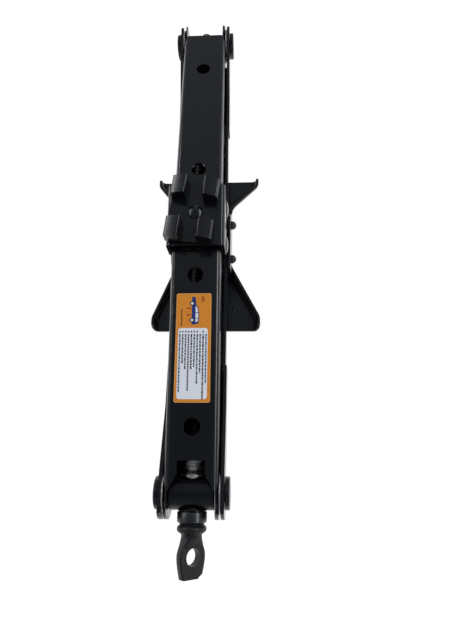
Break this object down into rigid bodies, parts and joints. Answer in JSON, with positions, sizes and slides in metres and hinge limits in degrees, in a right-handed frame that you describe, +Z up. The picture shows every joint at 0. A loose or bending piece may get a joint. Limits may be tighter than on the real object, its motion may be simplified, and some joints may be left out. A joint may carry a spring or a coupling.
{
  "type": "scissor car jack",
  "caption": "folded scissor jack: stamped base, geared channel arms, trunnions on one lead screw with a crank eye, saddle bracket and a swivelling slotted load cap",
  "frame": {"origin": "middle of the base plate's underside, on the ground", "axes": "+Z up, the lead screw lies along Y with the crank eye at -Y, X runs across the jack along the pivot pins"},
  "size_m": [0.0936, 0.4708, 0.0878],
  "materials": {
    "black_paint": "gloss black stoving paint",
    "screw_steel": "bright rolled steel thread",
    "bearing_steel": "ground bearing steel",
    "dark_forged_steel": "dark phosphated forging",
    "brass_cage": "pressed brass",
    "label_film": "printed orange label film"
  },
  "bodies": {
    "base": {"base_plate": "black_paint", "near_base_pin": "black_paint", "far_base_pin": "black_paint"},
    "near_lower_arm": {"near_lower_arm": "black_paint"},
    "far_lower_arm": {"far_lower_arm": "black_paint"},
    "near_trunnion": {"near_trunnion": "black_paint", "near_left_disc": "black_paint", "near_right_disc": "black_paint", "near_spacer_washers": "bearing_steel", "thrust_race": "dark_forged_steel", "inner_thrust_washer": "bearing_steel"},
    "bearing_cage": {"ball_cage": "brass_cage", "bearing_balls": "bearing_steel"},
    "screw": {"lead_screw": "screw_steel", "crank_eye": "dark_forged_steel", "bearing_cup": "black_paint", "stop_collar": "bearing_steel", "snap_ring": "bearing_steel", "end_stop_pin": "bearing_steel"},
    "near_upper_arm": {"near_upper_arm": "black_paint", "info_label": "label_film"},
    "far_trunnion": {"far_trunnion_nut": "black_paint", "far_left_disc": "black_paint", "far_right_disc": "black_paint", "far_spacer_washers": "bearing_steel"},
    "far_upper_arm": {"far_upper_arm": "black_paint"},
    "saddle": {"saddle_bracket": "black_paint", "near_saddle_pin": "black_paint", "far_saddle_pin": "black_paint", "cap_rivet": "black_paint"},
    "load_cap": {"load_cap": "black_paint"}
  },
  "joints": [
    {"name": "lift", "type": "hinge", "parent": "base", "child": "near_lower_arm", "pos_m": [0, -0.016, 0.024], "axis": [-1, 0, 0], "range_deg": [0, 56]},
    {"name": "far_lower_pivot", "type": "hinge", "parent": "base", "child": "far_lower_arm", "pos_m": [0, 0.016, 0.024], "axis": [1, 0, 0], "range_deg": [0, 56]},
    {"name": "near_trunnion_turn", "type": "hinge", "parent": "near_lower_arm", "child": "near_trunnion", "pos_m": [0, -0.20118, 0.03792], "axis": [1, 0, 0], "range_deg": [0, 56]},
    {"name": "near_upper_pivot", "type": "hinge", "parent": "near_trunnion", "child": "near_upper_arm", "pos_m": [0, -0.20118, 0.03792], "axis": [1, 0, 0], "range_deg": [0, 56]},
    {"name": "saddle_level", "type": "hinge", "parent": "near_upper_arm", "child": "saddle", "pos_m": [0, -0.016, 0.05185], "axis": [-1, 0, 0], "range_deg": [0, 56]},
    {"name": "far_trunnion_turn", "type": "hinge", "parent": "far_lower_arm", "child": "far_trunnion", "pos_m": [0, 0.20118, 0.03792], "axis": [-1, 0, 0], "range_deg": [0, 56]},
    {"name": "far_upper_pivot", "type": "hinge", "parent": "far_trunnion", "child": "far_upper_arm", "pos_m": [0, 0.20118, 0.03792], "axis": [-1, 0, 0], "range_deg": [0, 56]},
    {"name": "crank_turn", "type": "hinge", "parent": "near_trunnion", "child": "screw", "pos_m": [0, -0.20118, 0.03792], "axis": [0, 1, 0], "continuous": true},
    {"name": "cage_turn", "type": "hinge", "parent": "near_trunnion", "child": "bearing_cage", "pos_m": [0, -0.20118, 0.03792], "axis": [0, 1, 0], "continuous": true},
    {"name": "cap_swivel", "type": "hinge", "parent": "saddle", "child": "load_cap", "pos_m": [0, 0, 0.07685], "axis": [0, 0, 1], "continuous": true}
  ],
  "couplings": [
    {"joint": "far_lower_pivot", "follows": "lift", "ratio": 1},
    {"joint": "near_trunnion_turn", "follows": "lift", "ratio": 1},
    {"joint": "near_upper_pivot", "follows": "lift", "ratio": 1},
    {"joint": "saddle_level", "follows": "lift", "ratio": 1},
    {"joint": "far_trunnion_turn", "follows": "lift", "ratio": 1},
    {"joint": "far_upper_pivot", "follows": "lift", "ratio": 1},
    {"joint": "cage_turn", "follows": "crank_turn", "ratio": 0.5}
  ]
}
